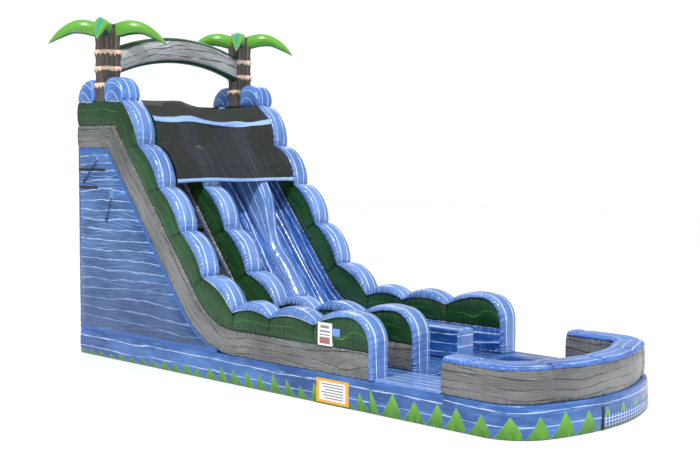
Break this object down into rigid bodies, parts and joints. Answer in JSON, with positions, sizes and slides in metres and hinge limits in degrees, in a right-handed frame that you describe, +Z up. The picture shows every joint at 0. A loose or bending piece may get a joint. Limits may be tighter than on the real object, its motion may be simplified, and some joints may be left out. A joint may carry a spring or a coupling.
{
  "type": "inflatable water slide",
  "caption": "Inflatable palm-tree water slide: climbing lane, twin slide lanes, scalloped side walls, arch, shade mesh and a splash pool, with a blower at the back.",
  "frame": {"origin": "on the ground, under the middle of the slide's base (without the pool base)", "axes": "+X across, -Y forward down the slide to the pool, +Z up"},
  "size_m": [5.0634, 12.1348, 6.595],
  "materials": {
    "blue_vinyl": "gloss",
    "panel_vinyl": "gloss",
    "grey_vinyl": "gloss",
    "green_vinyl": "gloss",
    "lane_vinyl": "gloss",
    "climb_vinyl": "satin",
    "liner_vinyl": "gloss",
    "bark_vinyl": "satin",
    "fringe_vinyl": "matte",
    "frond_vinyl": "gloss",
    "mesh": "matte",
    "webbing_blue": "matte",
    "webbing_black": "matte",
    "strap_light": "satin",
    "steel": "satin",
    "blower_plastic": "satin",
    "blower_dark": "satin",
    "switch_red": "gloss",
    "zip_plastic": "satin"
  },
  "bodies": {
    "slide": {"arch_beam": "grey_vinyl", "blower_housing": "blower_plastic", "blower_intake_grille": "blower_dark", "blower_motor": "blower_dark", "blower_stand": "blower_dark", "climbing_bed": "climb_vinyl", "climbing_ladder_webbing": "webbing_blue", "climbing_steps": "climb_vinyl", "deflation_zip": "zip_plastic", "exit_divider_block": "blue_vinyl", "exit_step_pad": "blue_vinyl", "front_bumps": "blue_vinyl", "inflation_sleeve": "webbing_blue", "left_palm_fronds": "frond_vinyl", "left_palm_trunk": "bark_vinyl", "left_side_panel": "panel_vinyl", "left_slide_bed": "lane_vinyl", "left_wall_cap": "blue_vinyl", "left_wall_green_band": "green_vinyl", "left_wall_grey_band": "grey_vinyl", "lower_mesh_strap": "strap_light", "main_base": "blue_vinyl", "middle_wall_cap": "blue_vinyl", "middle_wall_green_band": "green_vinyl", "middle_wall_grey_band": "grey_vinyl", "platform_floor": "panel_vinyl", "platform_rear_wall": "green_vinyl", "pool_base": "blue_vinyl", "pool_liner": "liner_vinyl", "pool_wall": "grey_vinyl", "pool_wall_top": "blue_vinyl", "rear_bumps": "blue_vinyl", "rear_panel": "panel_vinyl", "right_palm_fronds": "frond_vinyl", "right_palm_trunk": "bark_vinyl", "right_side_panel": "panel_vinyl", "right_slide_bed": "lane_vinyl", "right_wall_cap": "blue_vinyl", "right_wall_green_band": "green_vinyl", "right_wall_grey_band": "grey_vinyl", "ring_patches": "strap_light", "shade_mesh": "mesh", "side_webbing_strips": "webbing_black", "sleeve_strap": "webbing_black", "slide_divider_ridge": "blue_vinyl", "tower_core": "panel_vinyl", "trunk_fringes": "fringe_vinyl", "upper_mesh_strap": "strap_light"},
    "left_upper_ring": {"left_upper_ring": "steel", "upper_tie_strap": "webbing_blue", "upper_strap_knot": "webbing_blue"},
    "left_lower_ring": {"left_lower_ring": "steel", "lower_tie_strap": "webbing_blue", "lower_strap_knot": "webbing_blue"},
    "right_upper_ring": {"right_upper_ring": "steel"},
    "right_lower_ring": {"right_lower_ring": "steel"},
    "impeller": {"blower_impeller": "blower_dark"},
    "switch": {"blower_switch": "switch_red"},
    "zip_slider": {"zip_slider": "zip_plastic"},
    "zip_flap": {"zip_flap": "webbing_blue"}
  },
  "joints": [
    {"name": "left_upper_ring_swing", "type": "hinge", "parent": "slide", "child": "left_upper_ring", "pos_m": [-1.963, 3.195, 3.9], "axis": [0, 1, 0], "range_deg": [0, 60]},
    {"name": "left_lower_ring_swing", "type": "hinge", "parent": "slide", "child": "left_lower_ring", "pos_m": [-1.963, 2.765, 3.18], "axis": [0, 1, 0], "range_deg": [0, 60]},
    {"name": "right_upper_ring_swing", "type": "hinge", "parent": "slide", "child": "right_upper_ring", "pos_m": [1.963, 3.195, 3.9], "axis": [0, -1, 0], "range_deg": [0, 120]},
    {"name": "right_lower_ring_swing", "type": "hinge", "parent": "slide", "child": "right_lower_ring", "pos_m": [1.963, 2.765, 3.18], "axis": [0, -1, 0], "range_deg": [0, 120]},
    {"name": "impeller_spin", "type": "hinge", "parent": "slide", "child": "impeller", "pos_m": [0.3, 4.775, 0.245], "axis": [1, 0, 0], "continuous": true},
    {"name": "switch_rock", "type": "hinge", "parent": "slide", "child": "switch", "pos_m": [0.522, 4.775, 0.372], "axis": [0, 1, 0], "range_deg": [-9, 9]},
    {"name": "zip_slider_slide", "type": "slide", "parent": "slide", "child": "zip_slider", "axis": [0, 0, 1], "range_m": [0, 0.84]},
    {"name": "zip_flap_swing", "type": "hinge", "parent": "slide", "child": "zip_flap", "pos_m": [-1.104, 3.945, 1.15], "axis": [0, 0, 1], "range_deg": [0, 140]}
  ]
}
